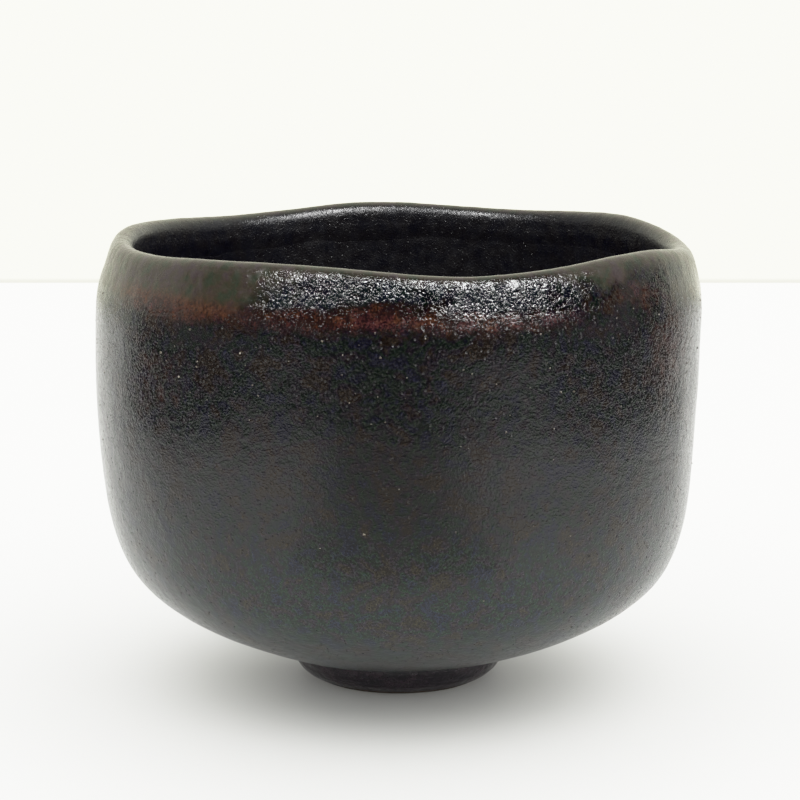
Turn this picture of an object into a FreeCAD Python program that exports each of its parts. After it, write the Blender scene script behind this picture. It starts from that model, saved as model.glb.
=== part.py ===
import FreeCAD, Part
import math
import os

# Black raku tea bowl for whisked tea.
# Units are millimetres, +Z is up, the front is -Y, and the origin is the middle of the
# foot on the table. Angles run from the front (-Y) towards the right (+X).

# ---- driving dimensions -------------------------------------------------------------
FOOT_TOP = 6.4          # height of the foot ring, and the depth of its recess
FOOT_BORE = 12.4        # radius of the recess where it meets the bowl
FOOT_SHOULDER = 20.3    # outer radius of the foot where it meets the bowl
CONTACT_INNER = 13.4    # flat ring the bowl stands on
CONTACT_OUTER = 16.6
BUMP_RADIUS = 5.0       # small turned bump in the middle of the recess
BUMP_HEIGHT = 1.2

BASE_COAT = 0.45        # thickness of the black base glaze
CURTAIN_COAT = 0.95     # thickness of the curtain glaze over the lip
CURTAIN_EDGE = 0.70     # thickness left at the curtain's lower edges
FOOT_COAT_STOP = 0.8    # the foot glaze ends this far above the table

# Fired clay profile as (radius, height): from the foot up the outside, over the lip and
# down the inside to the tea pool.
UNDERSIDE = [(20.9, FOOT_TOP), (26.0, 7.6), (32.3, 9.9), (41.9, 14.6), (50.5, 22.2)]
WALL = [(54.45, 32.6), (55.85, 44.4), (56.55, 56.4), (56.65, 68.0)]
SHOULDER = [(56.1, 76.5), (54.6, 81.0)]
LIP = [(52.5, 83.9), (51.4, 83.4), (51.0, 81.5)]
INSIDE = [(51.0, 78.6), (51.3, 74.0), (51.7, 67.0), (51.7, 57.0), (51.0, 45.5), (49.2, 33.5)]
FLOOR = [(44.8, 23.9), (36.3, 17.5), (26.5, 14.9), (18.5, 14.0), (15.4, 13.1), (10.0, 12.6)]
PROFILE = UNDERSIDE + WALL + SHOULDER + LIP + INSIDE + FLOOR
LAST = len(PROFILE) - 1

CURTAIN_FRONT = len(UNDERSIDE + WALL)                   # the curtain's edge outside
CURTAIN_BACK = len(UNDERSIDE + WALL + SHOULDER + LIP)   # its edge inside

# The lip rises and falls as it goes round: (cycles, height, angle of a crest).
LIP_WAVES = [(1, 0.25, -73), (2, 0.25, -25), (3, 0.2, 37), (4, 0.3, 57), (5, 0.65, -24), (6, 0.2, 0)]
LIP_WAVE_START = 30.0   # the waves fade in from this height up to the lip

# Scallops in the curtain's outside edge, measured along the wall.
SCALLOPS = [(3, 1.3, 20), (7, 1.0, -35), (11, 0.5, 5)]
SCALLOP_REACH = 9.0

# The wall leans slightly sideways, as formed by hand: (shift, height, spread).
LEANS = [(0.45, 82.0, 9.0), (-0.35, 50.0, 14.0), (0.30, 17.0, 8.0)]

MERIDIANS = 48          # pole columns round the bowl
DEGREE = 3
ROUND_KNOTS = [float(k) for k in range(MERIDIANS + 1)]
ROUND_MULTS = [1] * (MERIDIANS + 1)


# ---- hand-made waves ----------------------------------------------------------------
def waves(table, angle):
    """Sum of the cosine waves in a table at one angle round the bowl."""
    return sum(height * math.cos(cycles * (angle - math.radians(crest))) for cycles, height, crest in table)


def lip_share(height):
    """Smooth rise from 0 at LIP_WAVE_START to 1 at the lip."""
    top = max(z for _, z in PROFILE)
    t = (height - LIP_WAVE_START) / (top - LIP_WAVE_START)
    t = min(max(t, 0.0), 1.0)
    return t * t * (3.0 - 2.0 * t)


def lean(height):
    """Sideways shift of the section at one height. The foot stays centred."""
    if height <= FOOT_TOP:
        return 0.0
    return sum(shift * math.exp(-((height - middle) / spread) ** 2) for shift, middle, spread in LEANS)


# ---- skins of the bowl --------------------------------------------------------------
def stations():
    """Distance along the clay profile at each of its points."""
    marks = [0.0]
    for (r_a, z_a), (r_b, z_b) in zip(PROFILE, PROFILE[1:]):
        marks.append(marks[-1] + math.hypot(r_b - r_a, z_b - z_a))
    return marks


def smooth_curve(points, marks):
    """Smooth curve through points at the given parameters."""
    curve = Part.BSplineCurve()
    curve.interpolate(Points=points, Parameters=marks)
    return curve


def coated_profile(coats):
    """Clay profile moved outwards by the coat over each of its points."""
    marks = stations()
    clay = smooth_curve([FreeCAD.Vector(r, 0, z) for r, z in PROFILE], marks)
    moved = []
    for mark, coat in zip(marks, coats):
        along = clay.tangent(mark)[0]
        outward = FreeCAD.Vector(along.z, 0, -along.x)
        moved.append(clay.value(mark) + outward * coat)
    return smooth_curve(moved, marks)


def place(profile, mark, angle):
    """Point of the bowl at one distance along its profile and one angle."""
    edge = stations()[CURTAIN_FRONT]
    shifted = mark - waves(SCALLOPS, angle) * math.exp(-((mark - edge) / SCALLOP_REACH) ** 2)
    flat = profile.value(shifted if 0 < mark < stations()[LAST] else mark)
    pole_gain = 6.0 / (4.0 + 2.0 * math.cos(2.0 * math.pi / MERIDIANS))
    radius = flat.x * pole_gain
    return FreeCAD.Vector(
        radius * math.sin(angle) + lean(flat.z),
        -radius * math.cos(angle),
        flat.z + lip_share(flat.z) * waves(LIP_WAVES, angle))


def skin(coats, first=0, last=LAST):
    """Closed skin round the bowl, through the profile points first to last."""
    profile = coated_profile(coats)
    marks = stations()[first:last + 1]
    columns = []
    for j in range(MERIDIANS):
        angle = 2.0 * math.pi * j / MERIDIANS
        line = smooth_curve([place(profile, mark, angle) for mark in marks], marks)
        columns.append(line.getPoles())
    surface = Part.BSplineSurface()
    surface.buildFromPolesMultsKnots(
        [list(row) for row in zip(*columns)], line.getMultiplicities(), ROUND_MULTS,
        line.getKnots(), ROUND_KNOTS, False, True, DEGREE, DEGREE)
    return surface


def strip(surface, first, last):
    """Part of a skin between two profile points."""
    marks = stations()
    piece = surface.copy()
    piece.segment(marks[first], marks[last], 0.0, float(MERIDIANS))
    return piece


def ring(surface, end):
    """First (0) or last (-1) ring of a skin, as an edge."""
    low, high = surface.bounds()[:2]
    return surface.uIso(high if end else low).toShape()


def band(surface_a, surface_b, end):
    """Straight band between the same rings of two skins."""
    return Part.makeRuledSurface(ring(surface_a, end), ring(surface_b, end))


def disc(surface, end):
    """Flat face across the level first or last ring of a skin."""
    return Part.Face(Part.Wire(ring(surface, end)))


def closed_solid(faces):
    """Solid sewn from faces, with its normals pointing out."""
    shell = Part.Shell(faces)
    shell.sewShape()
    solid = Part.Solid(Part.Shell(shell.Faces))
    if solid.Volume < 0:
        solid.reverse()
    return solid


# ---- turned parts -------------------------------------------------------------------
def turned(edges):
    """Solid of revolution round Z of a closed outline in the XZ plane."""
    face = Part.Face(Part.Wire(edges))
    return face.revolve(FreeCAD.Vector(0, 0, 0), FreeCAD.Vector(0, 0, 1), 360)


def flat_point(radius, height):
    return FreeCAD.Vector(radius, 0, height)


def path(points):
    """Straight edges through (radius, height) points."""
    return [Part.makeLine(flat_point(*a), flat_point(*b)) for a, b in zip(points, points[1:])]


def foot_rounding():
    """Radius of the arc that rounds the foot from its shoulder to the contact ring."""
    inset = FOOT_SHOULDER - CONTACT_OUTER
    return (FOOT_TOP ** 2 + inset ** 2) / (2.0 * inset)


def foot_side(height, coat=0.0):
    """Point on the outside of the foot at one height."""
    centre = FOOT_SHOULDER - foot_rounding()
    reach = foot_rounding() + coat
    return (centre + math.sqrt(reach ** 2 - (FOOT_TOP - height) ** 2), height)


def foot_arc(high, low, coat=0.0):
    """Arc down the outside of the foot between two heights."""
    ends = [foot_side(h, coat) for h in (high, 0.5 * (high + low), low)]
    return Part.Arc(*[flat_point(*end) for end in ends]).toShape()


# ---- sub-parts ----------------------------------------------------------------------
def coats(thickness):
    return [thickness] * len(PROFILE)


def curtain_coats():
    """Curtain thickness: full over the lip, thinner at its two edges."""
    layers = coats(CURTAIN_COAT)
    layers[CURTAIN_FRONT] = CURTAIN_EDGE
    layers[CURTAIN_BACK] = CURTAIN_EDGE
    return layers


def glaze_coat(clay, layers, first, last):
    """Glaze between two profile points, lying on the clay skin."""
    under = strip(clay, first, last)
    over = skin(layers, first, last)
    faces = [under.toShape(), over.toShape(), band(under, over, 0)]
    if last == LAST:
        faces += [disc(under, -1), disc(over, -1)]
    else:
        faces.append(band(under, over, -1))
    return closed_solid(faces)


def clay_body(clay):
    """Clay wall and floor, with the small bump in the foot recess."""
    cuts = [0, CURTAIN_FRONT, CURTAIN_BACK, LAST]
    faces = [strip(clay, a, b).toShape() for a, b in zip(cuts, cuts[1:])]
    body = closed_solid(faces + [disc(clay, 0), disc(clay, -1)])
    tip = (0.0, FOOT_TOP - BUMP_HEIGHT)
    shoulder = (0.6 * BUMP_RADIUS, FOOT_TOP - 0.75 * BUMP_HEIGHT)
    root = (BUMP_RADIUS, FOOT_TOP)
    round_side = Part.Arc(flat_point(*tip), flat_point(*shoulder), flat_point(*root)).toShape()
    inside = FOOT_TOP + 1.0
    bump = turned([round_side] + path([root, (BUMP_RADIUS, inside), (0.0, inside), tip]))
    return body.fuse(bump).removeSplitter().Solids[0]


def foot_ring():
    """Carved foot with a rounded outside and a flat contact ring."""
    side = foot_arc(FOOT_TOP, 0.0)
    rest = path([(CONTACT_OUTER, 0.0), (CONTACT_INNER, 0.0), (FOOT_BORE, FOOT_TOP), (FOOT_SHOULDER, FOOT_TOP)])
    return turned([side] + rest)


def foot_glaze():
    """Thin glaze on the outside of the foot, stopping short of the table."""
    inner = foot_arc(FOOT_TOP, FOOT_COAT_STOP)
    outer = foot_arc(FOOT_TOP, FOOT_COAT_STOP, BASE_COAT)
    top = path([foot_side(FOOT_TOP), foot_side(FOOT_TOP, BASE_COAT)])
    bottom = path([foot_side(FOOT_COAT_STOP), foot_side(FOOT_COAT_STOP, BASE_COAT)])
    return turned([inner] + bottom + [outer] + top)


def main():
    clay = skin(coats(0.0))
    nodes = {
        "clay_body": clay_body(clay),
        "foot_ring": foot_ring(),
        "outer_glaze": glaze_coat(clay, coats(BASE_COAT), 0, CURTAIN_FRONT),
        "rim_glaze": glaze_coat(clay, curtain_coats(), CURTAIN_FRONT, CURTAIN_BACK),
        "inner_glaze": glaze_coat(clay, coats(BASE_COAT), CURTAIN_BACK, LAST),
        "foot_glaze": foot_glaze(),
    }
    os.makedirs("parts", exist_ok=True)
    for name, shape in nodes.items():
        box = shape.BoundBox
        print(name, shape.ShapeType, "valid", shape.isValid(), "volume", round(shape.Volume, 1),
              "x", round(box.XMin, 2), round(box.XMax, 2), "y", round(box.YMin, 2), round(box.YMax, 2),
              "z", round(box.ZMin, 2), round(box.ZMax, 2))
        shape.exportStep("parts/" + name + ".step")


main()
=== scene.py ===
import itertools
import math

import bpy
import numpy as np
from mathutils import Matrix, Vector


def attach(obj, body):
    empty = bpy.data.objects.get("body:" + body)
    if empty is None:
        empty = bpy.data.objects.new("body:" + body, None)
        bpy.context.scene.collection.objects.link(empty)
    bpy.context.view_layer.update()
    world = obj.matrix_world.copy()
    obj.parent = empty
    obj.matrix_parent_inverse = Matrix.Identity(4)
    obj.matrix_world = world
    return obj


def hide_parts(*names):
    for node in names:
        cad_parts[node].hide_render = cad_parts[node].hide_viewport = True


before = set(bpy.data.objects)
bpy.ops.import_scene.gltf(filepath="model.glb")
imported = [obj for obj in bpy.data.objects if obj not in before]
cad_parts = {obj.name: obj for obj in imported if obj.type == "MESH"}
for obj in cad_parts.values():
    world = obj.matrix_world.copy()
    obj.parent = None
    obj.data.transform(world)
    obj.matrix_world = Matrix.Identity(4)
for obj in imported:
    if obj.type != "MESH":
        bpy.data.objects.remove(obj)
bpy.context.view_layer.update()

# Black raku tea bowl. Lengths in this script are millimetres until a mesh is made.
# Angles run from the front (-Y) towards the right (+X).
MM = 0.001

# ---- the bowl's form, as in the CAD ---------------------------------------------------
FOOT_TOP = 6.4              # height of the foot
FOOT_BORE = 12.4            # radius of the recess where it meets the clay body
FOOT_SHOULDER = 20.3        # radius of the foot at its top
CONTACT_INNER = 13.4        # the flat ring that the bowl stands on
CONTACT_OUTER = 16.6
BASE_COAT = 0.45            # thickness of the base glaze
FOOT_COAT_STOP = 0.8        # height where the foot's glaze ends

# The clay's outline as (radius, height), from the foot over the lip to the middle of the floor.
UNDERSIDE = [(20.9, FOOT_TOP), (26.0, 7.6), (32.3, 9.9), (41.9, 14.6), (50.5, 22.2)]
WALL = [(54.45, 32.6), (55.85, 44.4), (56.55, 56.4), (56.65, 68.0)]
SHOULDER = [(56.1, 76.5), (54.6, 81.0)]
LIP = [(52.5, 83.9), (51.4, 83.4), (51.0, 81.5)]
INSIDE = [(51.0, 78.6), (51.3, 74.0), (51.7, 67.0), (51.7, 57.0), (51.0, 45.5), (49.2, 33.5)]
FLOOR = [(44.8, 23.9), (36.3, 17.5), (26.5, 14.9), (18.5, 14.0), (15.4, 13.1), (10.0, 12.6)]
PROFILE = UNDERSIDE + WALL + SHOULDER + LIP + INSIDE + FLOOR
CURTAIN_FRONT = len(UNDERSIDE + WALL)
CURTAIN_BACK = len(UNDERSIDE + WALL + SHOULDER + LIP)

# Waves round the bowl: (waves per turn, height, angle of a crest).
LIP_WAVES = [(1, 0.25, -73), (2, 0.25, -25), (3, 0.2, 37), (4, 0.3, 57), (5, 0.65, -24), (6, 0.2, 0)]
SCALLOPS = [(3, 1.3, 20), (7, 1.0, -35), (11, 0.5, 5)]
LIP_WAVE_START = 30.0       # below this height the bowl has no waves
# Sideways leans of the wall: (shift towards +X, height, spread).
LEANS = [(0.45, 82.0, 9.0), (-0.35, 50.0, 14.0), (0.30, 17.0, 8.0)]


def waves(table, angle):
    """Sum of the cosine waves in a table, at each angle."""
    return sum(height * np.cos(cycles * (angle - math.radians(crest))) for cycles, height, crest in table)


def smooth_step(value, low, high):
    """Rises smoothly from 0 at `low` to 1 at `high`."""
    t = np.clip((value - low) / (high - low), 0.0, 1.0)
    return t * t * (3.0 - 2.0 * t)


def chord_marks(points):
    """Distance along a line of points at each of them."""
    steps = np.hypot(*np.diff(np.array(points), axis=0).T)
    return np.concatenate([[0.0], np.cumsum(steps)])


def spline(points, marks, at):
    """Natural cubic curve through points, and its direction, at the given marks."""
    points = np.array(points, float)
    gaps = np.diff(marks)
    count = len(marks)
    system = np.eye(count)
    target = np.zeros_like(points)
    for i in range(1, count - 1):
        system[i, i - 1:i + 2] = gaps[i - 1], 2.0 * (gaps[i - 1] + gaps[i]), gaps[i]
        target[i] = 6.0 * ((points[i + 1] - points[i]) / gaps[i] - (points[i] - points[i - 1]) / gaps[i - 1])
    bends = np.linalg.solve(system, target)
    at = np.clip(at, marks[0], marks[-1])
    i = np.clip(np.searchsorted(marks, at, side="right") - 1, 0, count - 2)
    gap = gaps[i][..., None]
    a = (marks[i + 1] - at)[..., None] / gap
    b = 1.0 - a
    place = a * points[i] + b * points[i + 1]
    place = place + ((a ** 3 - a) * bends[i] + (b ** 3 - b) * bends[i + 1]) * gap ** 2 / 6.0
    along = (points[i + 1] - points[i]) / gap
    along = along + ((1 - 3 * a ** 2) * bends[i] + (3 * b ** 2 - 1) * bends[i + 1]) * gap / 6.0
    return place, along / np.linalg.norm(along, axis=-1, keepdims=True)


# Marks are distances along the outline.
MARKS = chord_marks(PROFILE)
EDGE_MARK = MARKS[CURTAIN_FRONT]
CREST_MARK = MARKS[CURTAIN_FRONT + len(SHOULDER)]
BACK_MARK = MARKS[CURTAIN_BACK]
LAST_MARK = MARKS[-1]
LIP_TOP = max(height for _, height in PROFILE)
LEAN_START = FOOT_TOP + 4.0


def bowl_points(mark, angle, coat):
    """Points of the bowl at a distance along its profile, an angle and a coat over the clay."""
    flat, along = spline(PROFILE, MARKS, mark)
    radius = flat[..., 0] + along[..., 1] * coat
    height = flat[..., 1] - along[..., 0] * coat
    share = smooth_step(height, LIP_WAVE_START, LIP_TOP)
    lean = sum(shift * np.exp(-((height - middle) / spread) ** 2) for shift, middle, spread in LEANS)
    lean = lean * smooth_step(height, FOOT_TOP, LEAN_START)
    return np.stack([
        radius * np.sin(angle) + lean,
        -radius * np.cos(angle),
        height + share * waves(LIP_WAVES, angle)], axis=-1)


# ---- seeded noise ----------------------------------------------------------------------
NOISE_SHIFT = 1000.0        # keeps the cells of the noise on the positive side
NOISE_GAIN = 1.5


def soft_noise(points, size, seed):
    """Smooth noise from about -1 to 1, in lumps about `size` across."""
    rng = np.random.default_rng(seed)
    table = rng.permutation(256)
    table = np.concatenate([table, table])
    slopes = rng.normal(size=(256, 3))
    slopes /= np.linalg.norm(slopes, axis=1, keepdims=True)
    scaled = points / size + NOISE_SHIFT
    cell = np.floor(scaled).astype(int)
    part = scaled - cell
    fade = part ** 3 * (part * (part * 6.0 - 15.0) + 10.0)
    total = np.zeros(points.shape[:-1])
    for corner in itertools.product((0, 1), repeat=3):
        c = (cell + corner) & 255
        pick = table[table[table[c[..., 0]] + c[..., 1]] + c[..., 2]]
        weight = np.prod(np.where(np.array(corner) == 1, fade, 1.0 - fade), axis=-1)
        total += weight * np.sum(slopes[pick] * (part - corner), axis=-1)
    return NOISE_GAIN * total


def relief(points, table):
    """Sum of soft noises; the rows of the table are (height, size, seed)."""
    return sum(height * soft_noise(points, size, seed) for height, size, seed in table)


def layered(points, size, seed):
    """Soft noise in three layers, each half the size and strength of the one before."""
    return sum(soft_noise(points, size / 2 ** k, seed + k) / 2 ** k for k in range(3))


# ---- meshes ----------------------------------------------------------------------------
def smooth_piece(name, points, faces):
    """Smooth-shaded object in the scene from points in millimetres and faces."""
    mesh = bpy.data.meshes.new(name)
    mesh.from_pydata((np.asarray(points) * MM).tolist(), [], faces)
    mesh.polygons.foreach_set("use_smooth", np.ones(len(mesh.polygons), bool))
    mesh.update()
    piece = bpy.data.objects.new(name, mesh)
    bpy.context.scene.collection.objects.link(piece)
    return piece


def grid_mesh(name, rows, cap_first=False, cap_last=False, loop_rows=False, values=None):
    """Mesh from rings of points (rows, columns, 3), closed round the columns."""
    count_rows, count_cols = rows.shape[:2]
    index = np.arange(count_rows * count_cols).reshape(count_rows, count_cols)
    below = index if loop_rows else index[:-1]
    above = np.roll(index, -1, axis=0) if loop_rows else index[1:]
    corners = [below, np.roll(below, -1, axis=1), np.roll(above, -1, axis=1), above]
    points = rows.reshape(-1, 3)
    faces = np.stack(corners, axis=-1).reshape(-1, 4).tolist()
    extra = []
    for wanted, ring, turn in ((cap_first, index[0], -1), (cap_last, index[-1], 1)):
        if wanted:
            middle = len(points) + len(extra)
            extra.append(points[ring].mean(axis=0))
            after = np.roll(ring, -1)
            fans = np.stack([ring, after, np.full_like(ring, middle)], axis=-1)[:, ::turn]
            faces += fans.tolist()
    if extra:
        points = np.concatenate([points, np.array(extra)])
    piece = smooth_piece(name, points, faces)
    for label, value in (values or {}).items():
        layer = piece.data.attributes.new(label, "FLOAT", "POINT")
        full = np.concatenate([value.reshape(-1), np.zeros(len(extra))]).astype(np.float32)
        layer.data.foreach_set("value", full)
    return piece


def finish_piece(piece, material, nodes):
    """Gives a piece its material, and puts it on the bowl in place of CAD nodes."""
    piece.data.materials.append(material)
    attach(piece, "root")
    if nodes:
        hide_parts(*nodes)


# ---- materials -------------------------------------------------------------------------
class Shader:
    """Small helper for building a node material."""

    def __init__(self, name):
        self.material = bpy.data.materials.new(name)
        self.material.use_nodes = True
        self.tree = self.material.node_tree
        self.surface = self.tree.nodes["Principled BSDF"]
        self.coords = self.add("ShaderNodeTexCoord").outputs["Object"]

    def add(self, kind, **settings):
        node = self.tree.nodes.new(kind)
        for key, value in settings.items():
            setattr(node, key, value)
        return node

    def link(self, source, target):
        self.tree.links.new(source, target)

    def noise(self, size, detail=2.0, rough=0.5, stretch=(1, 1, 1)):
        """Noise in lumps about `size` millimetres across."""
        mapping = self.add("ShaderNodeMapping")
        mapping.inputs["Scale"].default_value = [s / (size * MM) for s in stretch]
        self.link(self.coords, mapping.inputs["Vector"])
        node = self.add("ShaderNodeTexNoise")
        node.inputs["Scale"].default_value = 1.0
        node.inputs["Detail"].default_value = detail
        node.inputs["Roughness"].default_value = rough
        self.link(mapping.outputs["Vector"], node.inputs["Vector"])
        return node.outputs["Fac"]

    def cell_distance(self, size):
        """Distance to the nearest of points scattered about `size` millimetres apart, in sizes."""
        node = self.add("ShaderNodeTexVoronoi")
        node.inputs["Scale"].default_value = 1.0 / (size * MM)
        self.link(self.coords, node.inputs["Vector"])
        return node.outputs["Distance"]

    def ramp(self, value, stops, smooth=False):
        """Number or colour from a value; stops are (position, number or colour)."""
        node = self.add("ShaderNodeValToRGB")
        if smooth:
            node.color_ramp.interpolation = "EASE"
        elements = node.color_ramp.elements
        while len(elements) < len(stops):
            elements.new(0.5)
        for element, (position, colour) in zip(elements, stops):
            if not isinstance(colour, tuple):
                colour = (colour, colour, colour)
            element.position = position
            element.color = (*colour, 1.0)
        self.link(value, node.inputs["Fac"])
        return node.outputs["Color"]

    def maths(self, operation, a, b=None, c=None):
        """Result of a maths node; each input is a number or a socket."""
        node = self.add("ShaderNodeMath", operation=operation)
        for socket, value in zip(node.inputs, (a, b, c)):
            if value is None:
                continue
            if hasattr(value, "is_linked"):
                self.link(value, socket)
            else:
                socket.default_value = value
        return node.outputs["Value"]

    def mix(self, share, a, b):
        """Colour from `a` to `b`; each is a socket, a colour or a number."""
        node = self.add("ShaderNodeMix", data_type="RGBA")
        for socket, value in zip((node.inputs[0], node.inputs[6], node.inputs[7]), (share, a, b)):
            if hasattr(value, "is_linked"):
                self.link(value, socket)
            elif isinstance(value, tuple):
                socket.default_value = (*value, 1.0)
            else:
                socket.default_value = value
        return node.outputs[2]

    def attribute(self, name):
        return self.add("ShaderNodeAttribute", attribute_name=name).outputs["Fac"]

    def bump(self, layers):
        """Chain of bumps; layers are (height, depth in millimetres)."""
        normal = None
        for height, depth in layers:
            node = self.add("ShaderNodeBump")
            node.inputs["Strength"].default_value = 1.0
            node.inputs["Distance"].default_value = depth * MM
            self.link(height, node.inputs["Height"])
            if normal is not None:
                self.link(normal, node.inputs["Normal"])
            normal = node.outputs["Normal"]
        self.link(normal, self.surface.inputs["Normal"])

    def constants(self, **numbers):
        """Sets constant inputs of the surface, named like `specular_ior_level`."""
        for key, value in numbers.items():
            label = key.replace("_", " ").title().replace("Ior", "IOR")
            self.surface.inputs[label].default_value = value

    def colour(self, source):
        self.link(source, self.surface.inputs["Base Color"])

    def roughness(self, source):
        self.link(source, self.surface.inputs["Roughness"])


# Where each cast lies in the patchy noise.
BLUE, GREEN, VIOLET, BROWN = 0.40, 0.465, 0.53, 0.59

# Heights of what the glaze's bump map shows, in millimetres.
GRAIN_HEIGHT, GRIT_HEIGHT, LUMP_HEIGHT, PIT_DEPTH = 0.03, 0.030, 0.04, 0.06
WORM_HEIGHT, CURL_HEIGHT, RING_HEIGHT = 0.095, 0.08, 0.075
SATIN_CALM = -0.72          # how much less grit the satin lip has


def cast(s, patches, blue, green, violet, brown):
    """One of four casts of a colour, by patch."""
    return s.ramp(patches, [(BLUE, blue), (GREEN, green), (VIOLET, violet), (BROWN, brown)])


def wall_tint(s, grain, patches, ash):
    """Near-black colour of the wall, lighter on the grains and paler where it is ashen."""
    dark = cast(
        s, patches, (0.0014, 0.0013, 0.0052), (0.0010, 0.0032, 0.0014), (0.0026, 0.0012, 0.0038),
        (0.0046, 0.0020, 0.0010))
    light = cast(
        s, patches, (0.0080, 0.0076, 0.0220), (0.0066, 0.0160, 0.0050), (0.0150, 0.0080, 0.0180),
        (0.0205, 0.0125, 0.0060))
    tint = s.mix(s.ramp(grain, [(0.50, 0.0), (0.74, 1.0)]), dark, light)
    ashen = cast(
        s, patches, (0.017, 0.027, 0.052), (0.013, 0.050, 0.020), (0.034, 0.025, 0.044),
        (0.038, 0.036, 0.017))
    return s.mix(s.maths("MULTIPLY", ash, s.ramp(grain, [(0.40, 0.05), (0.60, 1.2)])), tint, ashen)


def ripple_density(s, ripple):
    """Ripples gathered in patches, from 0 to 1."""
    patchy = s.maths("MULTIPLY_ADD", s.noise(2.6, 2.0, 0.6), 0.9, s.maths("ADD", ripple, -0.45))
    anywhere = s.ramp(ripple, [(0.0, 0.0), (0.2, 1.0)])
    return s.maths("MULTIPLY", s.ramp(patchy, [(0.38, 0.0), (0.72, 1.0)]), anywhere)


def olive_tint(s, grain):
    """Thin glaze over the lip, with green, brown and violet places."""
    thin = s.ramp(s.noise(2.6, 3.0, 0.6), [
        (0.36, (0.0210, 0.0280, 0.0150)), (0.46, (0.0310, 0.0270, 0.0150)),
        (0.54, (0.0360, 0.0265, 0.0180)), (0.64, (0.0370, 0.0245, 0.0260))])
    return s.mix(s.ramp(grain, [(0.40, 0.25), (0.60, 0.0)]), thin, (0.012, 0.011, 0.008))


def rust_tint(s, olive):
    """Crimson and orange grains with dark gaps, earthier under the olive glaze."""
    crimson = s.ramp(s.noise(0.36, 3.0, 0.6), [
        (0.34, (0.0080, 0.0028, 0.0034)), (0.52, (0.0330, 0.0096, 0.0098)), (0.72, (0.0800, 0.0290, 0.0280))])
    orange = s.ramp(s.noise(0.36, 3.0, 0.6), [
        (0.34, (0.0110, 0.0042, 0.0028)), (0.52, (0.0420, 0.0140, 0.0070)), (0.72, (0.0880, 0.0345, 0.0180))])
    embers = s.mix(s.ramp(s.noise(3.0, 2.0, 0.6), [(0.44, 0.0), (0.58, 1.0)]), crimson, orange)
    gaps = s.ramp(s.noise(2.0, 2.0, 0.6), [(0.43, 0.80), (0.60, 0.05)])
    embers = s.mix(gaps, embers, (0.0060, 0.0024, 0.0030))
    earthy = s.ramp(s.noise(0.6, 2.0, 0.6), [
        (0.36, (0.0220, 0.0090, 0.0042)), (0.50, (0.0470, 0.0175, 0.0068)), (0.64, (0.0780, 0.0310, 0.0130))])
    return s.mix(s.maths("MULTIPLY", olive, 0.75), embers, earthy)


def pinholes(s, gloss):
    """Tiny pits in the matte glaze, in some places only."""
    pits = s.ramp(s.cell_distance(1.0), [(0.10, 1.0), (0.24, 0.0)])
    pits = s.maths("MULTIPLY", pits, s.ramp(gloss, [(0.2, 1.0), (0.8, 0.0)]))
    return s.maths("MULTIPLY", pits, s.ramp(s.noise(3.0, 2.0, 0.6), [(0.42, 0.15), (0.56, 1.0)]))


def glaze_roughness(s, gloss, pits, satin, inside):
    """Matte wall, glassy curtain, satin lip and a soft sheen inside."""
    matte = s.ramp(s.noise(0.9, 3.0, 0.6), [(0.3, 0.14), (0.7, 0.26)])
    matte = s.mix(pits, matte, (0.6, 0.6, 0.6))
    glassy = s.ramp(s.noise(1.6, 2.0, 0.6), [(0.35, 0.05), (0.7, 0.10)])
    sheen = s.ramp(s.noise(1.6, 2.0, 0.6), [(0.35, 0.24), (0.7, 0.32)])
    rough = s.mix(satin, s.mix(gloss, matte, glassy), sheen)
    return s.mix(inside, rough, s.ramp(s.noise(2.2, 3.0, 0.6), [(0.3, 0.28), (0.7, 0.42)]))


def glaze_relief(s, grain, satin, dense, pits):
    """Height of the glaze's grit, lumps, ripples and pinholes, in millimetres."""
    grit = s.ramp(grain, [(0.48, 0.0), (0.76, 1.0)])
    grit = s.maths("MULTIPLY_ADD", grit, GRIT_HEIGHT, s.maths("MULTIPLY", grain, GRAIN_HEIGHT))
    fine = s.maths("MULTIPLY", grit, s.maths("MULTIPLY_ADD", satin, SATIN_CALM, 1.0))
    lumps = s.maths("MULTIPLY", s.noise(1.3, 1.0, 0.5), LUMP_HEIGHT)
    rings = s.ramp(s.cell_distance(1.0), [(0.10, 0.0), (0.30, 1.0), (0.50, 0.0)])
    worms = s.ramp(s.noise(0.46, 0.0, 0.5), [(0.50, 0.0), (0.74, 1.0)])
    worms = s.maths("MULTIPLY", worms, WORM_HEIGHT)
    curls = s.maths("MULTIPLY_ADD", s.noise(0.40, 0.0, 0.5), CURL_HEIGHT, worms)
    curls = s.maths("ADD", curls, s.maths("MULTIPLY", rings, RING_HEIGHT))
    curls = s.maths("MULTIPLY", curls, dense)
    height = s.maths("ADD", s.maths("ADD", fine, lumps), curls)
    return s.maths("SUBTRACT", height, s.maths("MULTIPLY", pits, PIT_DEPTH))


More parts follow.
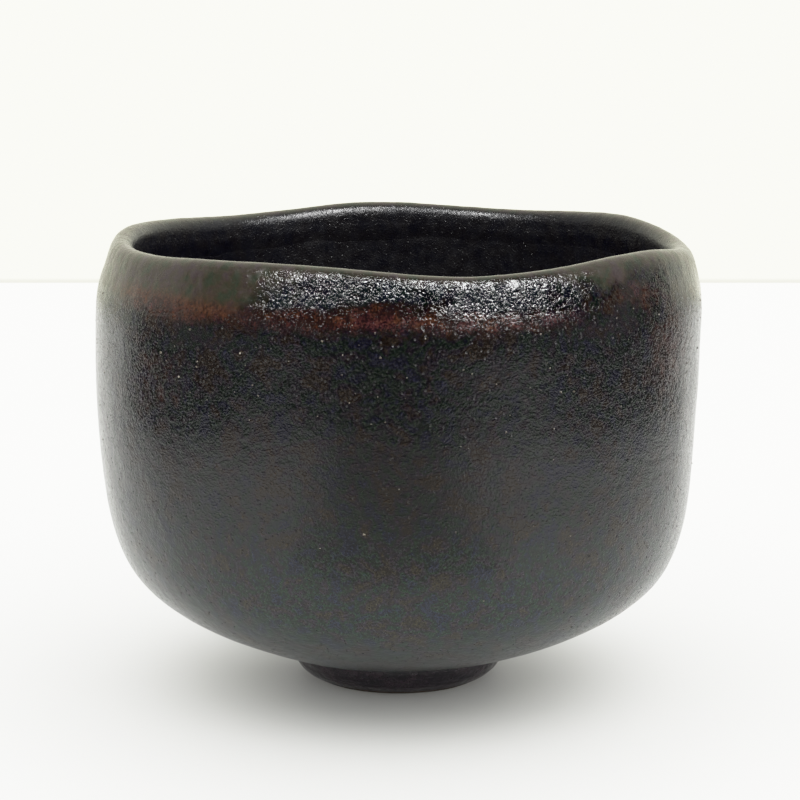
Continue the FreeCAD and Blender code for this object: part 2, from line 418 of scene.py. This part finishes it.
def raku_glaze(name):
    """Black glaze: grainy on the wall, glossy and rippled below the lip, plain dark inside."""
    s = Shader(name)
    gloss, ripple, olive, rust, inside, ash = (
        s.attribute(share) for share in ("gloss", "ripple", "olive", "rust", "inside", "ash"))
    grain = s.noise(0.42, 2.0, 0.65)
    small_patches = s.maths("MULTIPLY", s.noise(3.0, 2.5, 0.55), 0.75)
    patches = s.maths("MULTIPLY_ADD", s.noise(15.0, 2.0, 0.6), 0.25, small_patches)
    wander = s.maths("MULTIPLY_ADD", s.noise(3.2, 4.0, 0.65), 1.6, -0.8)
    dense = ripple_density(s, ripple)
    satin = s.maths("MULTIPLY", olive, s.maths("SUBTRACT", 1.0, dense))
    pits = pinholes(s, gloss)

    tint = wall_tint(s, grain, patches, ash)
    tint = s.mix(s.maths("MULTIPLY", dense, 0.7), tint, s.ramp(s.noise(1.8, 2.0, 0.6), [
        (0.40, (0.0050, 0.0060, 0.0130)), (0.60, (0.0055, 0.0095, 0.0105))]))
    veil = s.ramp(s.maths("ADD", olive, s.maths("MULTIPLY", wander, 0.35)), [(0.10, 0.0), (0.85, 0.92)])
    tint = s.mix(veil, tint, olive_tint(s, grain))
    rusty = s.ramp(s.maths("ADD", rust, s.maths("MULTIPLY", wander, 0.65)), [(0.16, 0.0), (0.90, 1.0)])
    rusty = s.maths("MULTIPLY", rusty, s.ramp(rust, [(0.02, 0.0), (0.15, 1.0)]))
    tint = s.mix(rusty, tint, rust_tint(s, olive))
    # Painted shade: the pinholes are darkened towards near-black, as if shaded inside.
    tint = s.mix(s.maths("MULTIPLY", pits, 0.85), tint, (0.0018, 0.0016, 0.0016))
    well = s.ramp(patches, [(BLUE, (0.0012, 0.0010, 0.0044)), (BROWN, (0.0026, 0.0015, 0.0030))])
    s.colour(s.mix(inside, tint, well))

    s.roughness(glaze_roughness(s, gloss, pits, satin, inside))
    s.constants(ior=1.5, specular_ior_level=0.40)
    s.bump([(glaze_relief(s, grain, satin, dense, pits), 1.0)])
    return s.material


def foot_coat_glaze():
    """Thin glaze on the foot, dark with a purple cast."""
    s = Shader("foot_glaze")
    grain = s.noise(0.5, 3.0, 0.65)
    slow = s.ramp(s.noise(4.0, 3.0, 0.6), [
        (0.40, (0.0035, 0.0025, 0.0055)), (0.60, (0.0190, 0.0110, 0.0160))])
    s.colour(s.mix(s.ramp(grain, [(0.48, 0.0), (0.70, 0.7)]), slow, (0.030, 0.020, 0.028)))
    s.roughness(s.ramp(s.noise(1.4, 3.0, 0.6), [(0.3, 0.10), (0.7, 0.30)]))
    s.constants(ior=1.5, specular_ior_level=0.45)
    turning = s.noise(1.1, 2.0, 0.5, stretch=(0.12, 0.12, 1.0))
    s.bump([(turning, 0.30), (s.noise(1.3, 2.0, 0.5), 0.22), (grain, 0.10)])
    return s.material


def mineral():
    """Pale grit grains caught in the glaze."""
    s = Shader("mineral")
    s.colour(s.ramp(s.noise(1.5, 2.0, 0.6), [
        (0.38, (0.035, 0.025, 0.015)), (0.50, (0.095, 0.078, 0.055)), (0.66, (0.33, 0.30, 0.25))]))
    s.roughness(s.ramp(s.noise(0.3, 2.0, 0.6), [(0.3, 0.25), (0.7, 0.5)]))
    s.bump([(s.noise(0.2, 2.0, 0.6), 0.03)])
    return s.material


def bare_clay():
    """Biscuit clay, dark brown and gritty."""
    s = Shader("bare_clay")
    s.colour(s.ramp(s.noise(2.0, 5.0, 0.65), [(0.25, (0.028, 0.019, 0.014)), (0.75, (0.085, 0.055, 0.038))]))
    s.roughness(s.ramp(s.noise(1.0, 3.0, 0.6), [(0.3, 0.75), (0.7, 0.92)]))
    s.bump([(s.noise(1.2, 4.0, 0.65), 0.12), (s.noise(0.35, 2.0, 0.6), 0.06)])
    return s.material


# ---- pieces ----------------------------------------------------------------------------
BURIED = -0.15          # the hidden side of each coat lies this far inside the clay
CURTAIN_EXTRA = 0.42    # how much thicker the curtain glaze is than the base glaze
TUCK = 0.35             # how far the base glaze sinks where it runs under the curtain
EDGE_DIP = 0.04         # how much the curtain thins within EDGE_WIDTH of its two edges
EDGE_WIDTH = 0.8

# Unevenness as (height, size, seed).
HAND_RELIEF = [(0.22, 26.0, 11), (0.10, 11.0, 12)]      # of the hands and the trimming tool
SKIN_RELIEF = [(0.022, 2.6, 21), (0.022, 1.3, 22)]      # of the glaze's skin
FOOT_RELIEF = [(0.12, 9.0, 61), (0.06, 2.4, 62)]
WELL_SLOW = [(0.15, 20.0, 51)]
WELL_FINE = [(0.02, 2.6, 52)]
RIPPLE_RELIEF = [(0.055, 1.1, 42)]

# Grids as (rows outside, columns round the bowl, rows of the hidden side).
WALL_GRID = (230, 900, 24)
CURTAIN_GRID = (130, 1200, 16)
WELL_GRID = (150, 540, 30)
FOOT_COAT_GRID = (40, 480)
FOOT_CLAY_COLUMNS = 420


def ring_grid(marks, columns):
    """Marks and angles of a grid with that many columns round the bowl."""
    angle = np.linspace(0.0, 2.0 * math.pi, columns, endpoint=False)
    return np.broadcast_arrays(np.asarray(marks)[:, None], angle[None, :])


def coat_rows(marks, angle, thickness, hidden_rows):
    """Rows of a coat's outside at `thickness` over the clay, and of its hidden side in the clay."""
    outside = bowl_points(marks, angle, thickness)
    picked = np.linspace(len(marks) - 1, 0, hidden_rows).round().astype(int)
    hidden = bowl_points(marks[picked], angle[picked], np.full_like(marks[picked], BURIED))
    return outside, hidden


def curtain_edge(angle):
    """Where the curtain glaze ends, along the profile."""
    edge = EDGE_MARK + waves(SCALLOPS, angle)
    return edge + 0.7 * layered(bowl_points(edge, angle, 0.0), 5.0, 31)


def near_angle(angle, middle, spread):
    """Share from 0 to 1 that peaks at one angle, in degrees, round the bowl."""
    away = np.remainder(np.degrees(angle) - middle + 180.0, 360.0) - 180.0
    return np.exp(-(away / spread) ** 2)


# Rusty places: (angle, its spread, height, its spread, strength), in degrees and millimetres.
RUST = [
    (-3, 8, 77.4, 2.3, 1.00), (-18, 9, 76.7, 1.9, 1.00), (12, 9, 76.3, 1.9, 0.85), (27, 9, 76.1, 2.0, 0.60),
    (-37, 10, 77.0, 2.2, 1.05), (-54, 11, 77.5, 2.1, 0.90), (46, 8, 79.4, 2.4, 0.60),
    (58, 9, 68.0, 9.0, 0.64), (-50, 11, 64.0, 11.0, 0.38), (100, 26, 77.0, 3.2, 0.70),
    (158, 30, 76.4, 3.0, 0.90), (-128, 34, 77.2, 3.0, 0.85), (-160, 12, 60.0, 10.0, 0.40)]

# Round the bowl: (angle, how far the thin olive glaze runs down from the crest), degrees and millimetres.
OLIVE = [
    (-70, 7.3), (-55, 7.3), (-48, 6.7), (-40, 9.4), (-34, 9.6), (-29, 7.4), (-25, 4.8), (-20, 2.0),
    (-12, 1.2), (2, 1.2), (6, 1.0), (26, 0.8), (32, 2.2), (37, 4.0), (42, 3.6), (47, 2.4), (62, 2.0),
    (85, 5.5), (115, 7.5), (135, 1.2), (200, 1.0), (215, 6.0), (240, 7.5)]
OLIVE_STEP = math.radians(4.0)      # the olive edge is softer where its reach changes fast

# Round the bowl: (angle, strength of the ripple, how far it runs down from the crest).
RIPPLE = [
    (-62, 0.0, 6.0), (-34, 0.0, 8.2), (-23, 0.66, 8.4), (-13, 0.66, 7.6), (-8, 0.68, 5.6), (0, 0.62, 5.0),
    (4, 0.42, 5.2), (9, 0.70, 7.6), (14, 0.66, 7.7), (20, 0.66, 7.0), (28, 0.56, 6.6), (36, 0.42, 6.6),
    (43, 0.16, 6.4), (52, 0.0, 6.0), (130, 0.0, 6.0), (145, 0.6, 7.0), (195, 0.6, 6.0), (210, 0.0, 6.0)]
RIPPLE_FADE = 1.6

ASH_TOP = 52.0          # the glaze turns paler from this height ...
ASH_FULL = 12.0         # ... down to this one
ASH_SHARE = 0.50


def around(angle, table, column):
    """A column of a table of places round the bowl, at each angle."""
    table = np.array(table)
    return np.interp(np.degrees(angle), table[:, 0], table[:, column], period=360.0)


def olive_share(angle, wobbly, points, down):
    """Share of the olive glaze; `down` is the distance from the crest, negative inside the bowl."""
    ragged = 1.1 * layered(points, 2.6, 83) * smooth_step(around(angle, OLIVE, 1), 1.0, 3.0)
    band = around(wobbly, OLIVE, 1) + ragged
    change = around(angle + OLIVE_STEP, OLIVE, 1) - around(angle - OLIVE_STEP, OLIVE, 1)
    fade = 1.2 + 0.6 * np.abs(change)
    outside = 1.0 - smooth_step(down, band - fade, band + fade)
    return np.where(down > 0.0, outside, 1.0 - smooth_step(-down, 0.6, 2.4))


def ripple_share(wobbly, down):
    """Strength of the ripples below the crest."""
    strength, reach = (around(wobbly, RIPPLE, column) for column in (1, 2))
    strength = strength * smooth_step(down, 0.4, 1.8)
    return strength * (1.0 - smooth_step(down, reach - RIPPLE_FADE, reach + RIPPLE_FADE))


def rust_share(angle, height):
    """Strength of the rusty places."""
    return sum(
        strength * near_angle(angle, middle, spread) * np.exp(-((height - level) / reach) ** 2)
        for middle, spread, level, reach, strength in RUST)


def glaze_shares(marks, angle):
    """Where the glaze is glossy, rippled, ashen, olive, rusty or plain dark, from 0 to 1."""
    points = bowl_points(marks, angle, 0.0)
    height = points[..., 2]
    wobbly = angle + np.radians(3.0) * layered(points, 4.0, 81)
    rise = marks - curtain_edge(angle)
    down = CREST_MARK - marks
    outside = np.where(down > 0.0, 1.0, 0.0)
    inside = smooth_step(-down, 0.2, 2.2)
    return {
        "gloss": smooth_step(rise, -1.2, 1.0) * (1.0 - smooth_step(-down, -0.6, 1.0)),
        "ripple": ripple_share(wobbly, down) * (1.0 - inside),
        "ash": ASH_SHARE * (1.0 - smooth_step(height, ASH_FULL, ASH_TOP)) * outside,
        "olive": olive_share(angle, wobbly, points, down) * (1.0 - inside),
        "rust": rust_share(angle, height) * outside,
        "inside": inside}


def with_hidden(shares, hidden):
    """The shares of a coat's outside, then zeros for its hidden rows."""
    blank = np.zeros(hidden.shape[:2])
    return {label: np.concatenate([value, blank]) for label, value in shares.items()}


def wall_thickness(marks, angle):
    """Thickness of the base glaze, with the unevenness of its surface."""
    base = bowl_points(marks, angle, BASE_COAT)
    return BASE_COAT + relief(base, HAND_RELIEF) * smooth_step(marks, 0.0, 12.0) + relief(base, SKIN_RELIEF)


def outer_coat():
    """Black base glaze outside, from the foot up under the curtain glaze."""
    rows, columns, hidden_rows = WALL_GRID
    marks, angle = ring_grid(np.linspace(0.0, EDGE_MARK + 4.0, rows), columns)
    thickness = wall_thickness(marks, angle)
    tucked = smooth_step(marks - curtain_edge(angle), 0.3, 2.5)
    outside, hidden = coat_rows(marks, angle, thickness - TUCK * tucked, hidden_rows)
    shares = with_hidden(glaze_shares(marks, angle), hidden)
    return grid_mesh("wall_glaze", np.concatenate([outside, hidden]), loop_rows=True, values=shares)


def curtain():
    """Thick curtain glaze over the shoulder and the lip."""
    rows, columns, hidden_rows = CURTAIN_GRID
    share, angle = ring_grid(np.linspace(0.0, 1.0, rows), columns)
    first = curtain_edge(angle)
    last = BACK_MARK + 1.5
    marks = first + share * (last - first)
    base = bowl_points(marks, angle, BASE_COAT)
    shares = glaze_shares(marks, angle)
    from_edge = marks - first
    from_back = last - marks
    body = CURTAIN_EXTRA * smooth_step(from_edge, 0.0, 9.0) * smooth_step(from_back, -0.2, 3.5)
    dip = sum(EDGE_DIP * (1.0 - smooth_step(away, 0.0, EDGE_WIDTH)) for away in (from_edge, from_back))
    thickness = BASE_COAT + body - dip + relief(base, HAND_RELIEF) + relief(base, SKIN_RELIEF)
    thickness = thickness + relief(base, RIPPLE_RELIEF) * shares["ripple"]
    outside, hidden = coat_rows(marks, angle, thickness, hidden_rows)
    shares = with_hidden(shares, hidden)
    return grid_mesh("curtain_glaze", np.concatenate([outside, hidden]), loop_rows=True, values=shares)


def inner_coat():
    """Black glaze inside, down to the tea pool."""
    rows, columns, hidden_rows = WELL_GRID
    marks, angle = ring_grid(np.linspace(BACK_MARK - 1.0, LAST_MARK, rows), columns)
    base = bowl_points(marks, angle, BASE_COAT)
    fade = smooth_step(LAST_MARK - marks, 0.0, 8.0)
    thickness = BASE_COAT + relief(base, WELL_SLOW) * fade + relief(base, WELL_FINE)
    outside, hidden = coat_rows(marks, angle, thickness, hidden_rows)
    middle = outside[-1].mean(axis=0)
    steps = np.linspace(0.85, 0.05, 12)[:, None, None]
    pool = middle + steps * (outside[-1] - middle)
    below = np.array([middle[0], middle[1], hidden[0, 0, 2]])
    under = below + steps[::-3] * (hidden[0] - below)
    rings = np.concatenate([under, hidden, outside, pool])
    inside = {"inside": np.ones(rings.shape[:2])}
    return grid_mesh("well_glaze", rings, cap_first=True, cap_last=True, values=inside)


SPECK_COUNT = 320
SPECK_RINGS, SPECK_SIDES = 5, 9     # grid of one grain
SPECK_LEVEL_SHARE = 0.72            # share of the grains that lie near SPECK_LEVEL
SPECK_LEVEL, SPECK_SPREAD = 67.0, 5.5
SPECK_LOW, SPECK_HIGH = 12, 72      # heights between which the others lie
SPECK_TOP = 76.0
SPECK_LARGEST = 0.26
SPECK_SUNK = 0.35                   # share of its radius that a grain's middle lies in the glaze
SPECK_UNEVEN = 0.22
SPECK_FLAT = 0.7                    # height of a grain over its width
BIG_SPECKS = [      # (angle, height, radius) of the largest grains of the front
    (29.0, 64.3, 0.30), (31.8, 64.0, 0.22), (-13.0, 73.0, 0.28), (3.0, 21.6, 0.16), (53.0, 74.0, 0.24),
    (41.0, 75.0, 0.26), (24.7, 74.6, 0.22), (-3.0, 71.0, 0.24), (-37.0, 68.0, 0.18), (11.0, 69.5, 0.20)]


def speck_places():
    """Angle, mark and radius of each grit grain, most of them below the curtain glaze."""
    rng = np.random.default_rng(71)
    is_high = rng.random(SPECK_COUNT) < SPECK_LEVEL_SHARE
    near_level = rng.normal(SPECK_LEVEL, SPECK_SPREAD, SPECK_COUNT)
    heights = np.where(is_high, near_level, rng.uniform(SPECK_LOW, SPECK_HIGH, SPECK_COUNT))
    angles = np.radians(rng.uniform(-180, 180, SPECK_COUNT))
    radii = 0.07 + 0.05 * rng.gamma(1.6, 0.8, SPECK_COUNT)
    big = np.array(BIG_SPECKS)
    heights = np.concatenate([big[:, 1], np.minimum(heights, SPECK_TOP)])
    angles = np.concatenate([np.radians(big[:, 0]), angles])
    radii = np.concatenate([big[:, 2], np.minimum(radii, SPECK_LARGEST)])
    outside = PROFILE[:CURTAIN_FRONT + 1]
    marks = np.interp(heights, [z for _, z in outside], MARKS[:CURTAIN_FRONT + 1])
    return angles, marks, radii


def mineral_specks():
    """Grit grains that stand just proud of the wall glaze, each a small uneven lump."""
    angles, marks, radii = speck_places()
    rng = np.random.default_rng(72)
    thickness = wall_thickness(marks, angles)
    centre = bowl_points(marks, angles, thickness - SPECK_SUNK * radii)
    outward = bowl_points(marks, angles, thickness + 1.0) - centre
    outward /= np.linalg.norm(outward, axis=-1, keepdims=True)
    sideways = np.stack([np.cos(angles), np.sin(angles), np.zeros_like(angles)], axis=-1)
    upward = np.cross(outward, sideways)
    tilt = np.linspace(0.12, math.pi - 0.12, SPECK_RINGS)
    turn = np.linspace(0.0, 2.0 * math.pi, SPECK_SIDES, endpoint=False)
    points, faces = [], []
    for k in range(len(radii)):
        uneven = radii[k] * (1.0 + SPECK_UNEVEN * rng.normal(size=(SPECK_RINGS, SPECK_SIDES)))
        flat = uneven * np.sin(tilt)[:, None]
        lump = centre[k] + (
            (flat * np.cos(turn))[..., None] * sideways[k] * rng.uniform(0.8, 1.4)
            + (flat * np.sin(turn))[..., None] * upward[k]
            + (uneven * np.cos(tilt)[:, None] * SPECK_FLAT)[..., None] * outward[k])
        index = len(points) + np.arange(SPECK_RINGS * SPECK_SIDES).reshape(SPECK_RINGS, SPECK_SIDES)
        after = np.roll(index, -1, axis=1)
        faces += np.stack([index[:-1], index[1:], after[1:], after[:-1]], axis=-1).reshape(-1, 4).tolist()
        faces += [index[0].tolist(), index[-1][::-1].tolist()]
        points += lump.reshape(-1, 3).tolist()
    return smooth_piece("mineral_specks", points, faces)


def foot_rounding():
    """Radius of the arc between the foot's top and its contact face."""
    inset = FOOT_SHOULDER - CONTACT_OUTER
    return (FOOT_TOP ** 2 + inset ** 2) / (2.0 * inset)


def foot_side(height, coat=0.0):
    """Radius of the foot's outside at one height, with a coat over the clay."""
    reach = foot_rounding() + coat
    return FOOT_SHOULDER - foot_rounding() + np.sqrt(reach ** 2 - (FOOT_TOP - height) ** 2)


def turned_rows(outline, columns):
    """Rings of points round Z from (radius, height) pairs."""
    outline = np.array(outline, float)
    angle = np.linspace(0.0, 2.0 * math.pi, columns, endpoint=False)
    radius = outline[:, 0][:, None]
    height = np.broadcast_to(outline[:, 1][:, None], (len(outline), columns))
    return np.stack([radius * np.sin(angle), -radius * np.cos(angle), height], axis=-1)


def push_sideways(rows, amount):
    """Moves points out from the Z axis by an amount each."""
    reach = np.linalg.norm(rows[..., :2], axis=-1, keepdims=True)
    moved = rows.copy()
    moved[..., :2] += rows[..., :2] / np.maximum(reach, 1e-6) * amount[..., None]
    return moved


def foot_coat():
    """Glaze on the outside of the foot."""
    rows, columns = FOOT_COAT_GRID
    heights = np.linspace(FOOT_COAT_STOP, FOOT_TOP, rows)
    outside = turned_rows([(foot_side(h, BASE_COAT), h) for h in heights], columns)
    fade = smooth_step(heights, FOOT_COAT_STOP, FOOT_COAT_STOP + 1.2)[:, None]
    outside = push_sideways(outside, relief(outside, FOOT_RELIEF) - 0.25 * (1.0 - fade))
    inside = turned_rows([(foot_side(h) - 0.3, h) for h in heights[::-4]], columns)
    return grid_mesh("foot_coat", np.concatenate([outside, inside]), loop_rows=True)


def foot_clay():
    """Bare clay foot ring."""
    side = [(foot_side(h), h) for h in np.linspace(0.0, FOOT_TOP, 30)]
    flare = CONTACT_INNER - FOOT_BORE
    bore = [(FOOT_BORE + flare * t, FOOT_TOP * (1.0 - t)) for t in np.linspace(0.0, 1.0, 24)]
    face = [(r, 0.0) for r in np.linspace(CONTACT_INNER + 0.2, CONTACT_OUTER - 0.2, 12)]
    top = [(r, FOOT_TOP) for r in np.linspace(FOOT_SHOULDER - 1.0, FOOT_BORE + 1.0, 4)]
    rows = turned_rows(side + top + bore + face, FOOT_CLAY_COLUMNS)
    return grid_mesh("foot_clay", rows, loop_rows=True)


finish_piece(outer_coat(), raku_glaze("base_glaze"), ["outer_glaze"])
finish_piece(curtain(), raku_glaze("curtain_glaze"), ["rim_glaze"])
finish_piece(inner_coat(), raku_glaze("inner_glaze"), ["inner_glaze"])
finish_piece(foot_coat(), foot_coat_glaze(), ["foot_glaze"])
finish_piece(mineral_specks(), mineral(), [])
CLAY = bare_clay()
finish_piece(foot_clay(), CLAY, ["foot_ring"])
for material_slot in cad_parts["clay_body"].material_slots:
    material_slot.material = CLAY


# ---- studio ----------------------------------------------------------------------------
CAMERA_DISTANCE = 450.0
CAMERA_HEIGHT = 139.5
CAMERA_SIDE = 0.3
CAMERA_PITCH = 10.87        # degrees down from level
FOCAL_WIDTHS = 3.0          # focal length over image width
SENSOR = 36.0
TABLE_BACK = 533.0          # the table's far edge
WALL_BACK = 800.0
SHADE_LINE_BOTTOM = -0.0385       # metres, where the line of sight over the table's edge meets the wall; the painted shade line on the wall sits here
SHADE_LINE_HEIGHT = 0.0035
BRIGHTEST = 2.3             # scene light that the tone curve still tells apart
TONE = [                    # (scene light, light in the picture)
    (0.0, 0.0), (0.25, 0.25), (0.5, 0.5), (0.75, 0.69), (1.0, 0.81), (1.35, 0.905), (1.8, 0.965),
    (BRIGHTEST, 1.0)]


def stage_plane(name, corners, material):
    """Flat four-sided part of the studio."""
    mesh = bpy.data.meshes.new(name)
    mesh.from_pydata([tuple(c * MM for c in corner) for corner in corners], [], [(0, 1, 2, 3)])
    plane = bpy.data.objects.new(name, mesh)
    bpy.context.scene.collection.objects.link(plane)
    mesh.materials.append(material)
    return plane


def card_paint(name, colour, rough):
    """Matte paint or cloth, very slightly uneven."""
    s = Shader(name)
    low = tuple(c * 0.985 for c in colour)
    s.colour(s.ramp(s.noise(60.0, 2.0, 0.5), [(0.3, low), (0.7, colour)]))
    s.constants(roughness=rough, ior=1.4)
    return s.material


def soft_light(name, place, aim, size, power):
    """White lamp with a rectangular face."""
    light = bpy.data.lights.new(name, "AREA")
    light.shape = "RECTANGLE"
    light.size, light.size_y = (s * MM for s in size)
    light.energy = power
    lamp = bpy.data.objects.new(name, light)
    bpy.context.scene.collection.objects.link(lamp)
    lamp.location = [c * MM for c in place]
    direction = np.array(aim, float) - np.array(place, float)
    lamp.rotation_euler = Vector(direction).to_track_quat("-Z", "Y").to_euler()
    return lamp


def reflection_only(plane):
    """Keeps a studio plane out of the diffuse light and the shadows."""
    plane.visible_diffuse = False
    plane.visible_shadow = False


def glow(name, level_at, colour=(1.0, 1.0, 0.90)):
    """White that shines by itself; `level_at` turns the shader into a strength."""
    s = Shader(name)
    s.colour(s.ramp(s.noise(60.0, 2.0, 0.5), [(0.3, (0.03, 0.03, 0.03)), (0.7, (0.032, 0.032, 0.031))]))
    s.constants(roughness=0.9)
    s.surface.inputs["Emission Color"].default_value = (*colour, 1.0)
    s.link(level_at(s), s.surface.inputs["Emission Strength"])
    return s.material


def wall_level(s):
    """Glow strength of the wall, brightest behind the bowl, with a thin painted shade line at the table's far
    edge.
    """
    parts = s.add("ShaderNodeSeparateXYZ")
    s.link(s.coords, parts.inputs[0])
    sideways = s.maths("MULTIPLY", s.maths("ABSOLUTE", parts.outputs["X"]), 0.6)
    far = s.maths("MAXIMUM", sideways, parts.outputs["Z"])
    level = s.maths("MULTIPLY_ADD", s.ramp(far, [(0.16, 1.0), (0.30, 0.0)], smooth=True), 0.45, 1.18)
    # Painted shade: the glow dips to 0.72 in a thin line where the table's far edge meets the wall.
    line = s.maths("MULTIPLY_ADD", parts.outputs["Z"], 1.0 / SHADE_LINE_HEIGHT, -SHADE_LINE_BOTTOM / SHADE_LINE_HEIGHT)
    dip = s.ramp(line, [(0.0, 0.72), (0.45, 0.72), (1.0, 1.0)], smooth=True)
    return s.maths("MULTIPLY", level, dip)


def even_level(strength):
    """Nearly even strength, for glow()."""
    def level(s):
        return s.maths("MULTIPLY", s.ramp(s.noise(400.0, 2.0, 0.5), [(0.3, 0.94), (0.7, 1.0)]), strength)
    return level


ROOM_LEVEL = 1.68
ROOM_TO_RIGHT = 0.20        # how much brighter the room is towards +X, towards +Y and overhead
ROOM_TO_BACK = 0.33
ROOM_TO_TOP = 0.45


def room():
    """White surroundings, brighter at the right, at the back and overhead, unseen by mirror rays."""
    world = bpy.data.worlds.new("room")
    world.use_nodes = True
    tree = world.node_tree
    background = tree.nodes["Background"]
    background.inputs["Color"].default_value = (1.0, 1.0, 0.985, 1.0)
    direction = tree.nodes.new("ShaderNodeTexCoord").outputs["Generated"]
    slope = tree.nodes.new("ShaderNodeVectorMath")
    slope.operation = "DOT_PRODUCT"
    slope.inputs[1].default_value = (ROOM_TO_RIGHT, ROOM_TO_BACK, ROOM_TO_TOP)
    level = tree.nodes.new("ShaderNodeMath")
    level.operation = "MULTIPLY_ADD"
    level.inputs[1].default_value = ROOM_LEVEL
    level.inputs[2].default_value = ROOM_LEVEL
    tree.links.new(direction, slope.inputs[0])
    tree.links.new(slope.outputs["Value"], level.inputs[0])
    tree.links.new(level.outputs["Value"], background.inputs["Strength"])
    bpy.context.scene.world = world
    world.cycles_visibility.glossy = False


SIDE, ROOF = 1300, 1000     # the studio's side walls and its roof
WALL_START, WALL_BOTTOM = -150, 20
CARD_SIDE, CARD_FRONT = 235, -270       # low black cards round the bowl
LOW_CARD, FRONT_CARD = 55, 70           # their heights

LAMPS = [                   # (name, x, width of its face, power)
    ("lamp_left", -420, 80, 15.5), ("lamp_mid", 330, 80, 14.0), ("lamp_right", 640, 90, 17.0)]
LAMP_PLACE = (-520, 820)    # y and z of every lamp
LAMP_LENGTH = 620
LAMP_AIM = (0, -60, 80)


def facing_wall(y, half_width, bottom, top):
    """Corners of an upright plane across the studio."""
    return [(-half_width, y, bottom), (half_width, y, bottom), (half_width, y, top), (-half_width, y, top)]


def side_wall(x, y_first, y_last, bottom, top):
    """Corners of an upright plane along the studio."""
    return [(x, y_first, bottom), (x, y_last, bottom), (x, y_last, top), (x, y_first, top)]


def studio():
    """Table, white surroundings, black cards that only reflections show, lamps and room light."""
    cloth = card_paint("table_white", (0.86, 0.863, 0.84), 0.6)
    black = card_paint("card_black", (0.02, 0.02, 0.02), 0.9)
    back, far = TABLE_BACK, WALL_BACK
    stage_plane("table", [(-1500, -1500, 0), (1500, -1500, 0), (1500, back, 0), (-1500, back, 0)], cloth)
    walls = [
        ("wall", facing_wall(far, SIDE, -800, ROOF), glow("wall_white", wall_level, (1.0, 1.0, 0.82))),
        ("wall_left", side_wall(-SIDE, WALL_START, far, WALL_BOTTOM, ROOF),
            glow("side_white", even_level(0.84))),
        ("wall_right", side_wall(SIDE, far, WALL_START, WALL_BOTTOM, ROOF),
            glow("side_white_right", even_level(0.72))),
        ("roof", [(-SIDE, 120, ROOF), (SIDE, 120, ROOF), (SIDE, far, ROOF), (-SIDE, far, ROOF)],
            glow("roof_white", even_level(1.0))),
        ("card_front", facing_wall(CARD_FRONT, CARD_SIDE, 0, FRONT_CARD), black),
        ("card_left", side_wall(-CARD_SIDE, CARD_FRONT, 85, 0, LOW_CARD), black),
        ("card_right", side_wall(CARD_SIDE, 140, CARD_FRONT, 0, LOW_CARD), black),
        # floor_dim glows dim grey for mirror rays only: painted shade of the floor in front of the bowl.
        ("floor_dim", [(-75, -265, 1), (75, -265, 1), (60, -92, 1), (-60, -92, 1)],
            glow("floor_shade_glow", even_level(0.74))),
        ("card_left_tall", side_wall(-CARD_SIDE - 1, -45, 50, 0, 84), black),
        ("card_right_tall", side_wall(CARD_SIDE + 1, 80, -30, 0, 110), black)]
    for name, corners, material in walls:
        plane = stage_plane(name, corners, material)
        reflection_only(plane)
        plane.visible_camera = name == "wall"
    for name, x, width, power in LAMPS:
        lamp = soft_light(name, (x, *LAMP_PLACE), LAMP_AIM, (width, LAMP_LENGTH), power)
        lamp.visible_diffuse = False
    room()


def photo_tone():
    """Leaves darks alone and rolls off what is brighter than white."""
    view = bpy.context.scene.view_settings
    view.view_transform = "Standard"
    view.use_curve_mapping = True
    mapping = view.curve_mapping
    mapping.white_level = (BRIGHTEST,) * 3
    points = mapping.curves[3].points
    while len(points) < len(TONE):
        points.new(0.5, 0.5)
    for point, (scene_light, shown) in zip(points, TONE):
        point.location = (scene_light / BRIGHTEST, shown)
    mapping.update()


def camera():
    """Camera in front of the bowl, a little above it."""
    data = bpy.data.cameras.new("camera")
    data.sensor_width = SENSOR
    data.lens = FOCAL_WIDTHS * SENSOR
    data.clip_start = 0.01
    view = bpy.data.objects.new("camera", data)
    bpy.context.scene.collection.objects.link(view)
    view.location = (CAMERA_SIDE * MM, -CAMERA_DISTANCE * MM, CAMERA_HEIGHT * MM)
    view.rotation_euler = (math.radians(90.0 - CAMERA_PITCH), 0.0, 0.0)
    bpy.context.scene.camera = view


studio()
camera()
photo_tone()
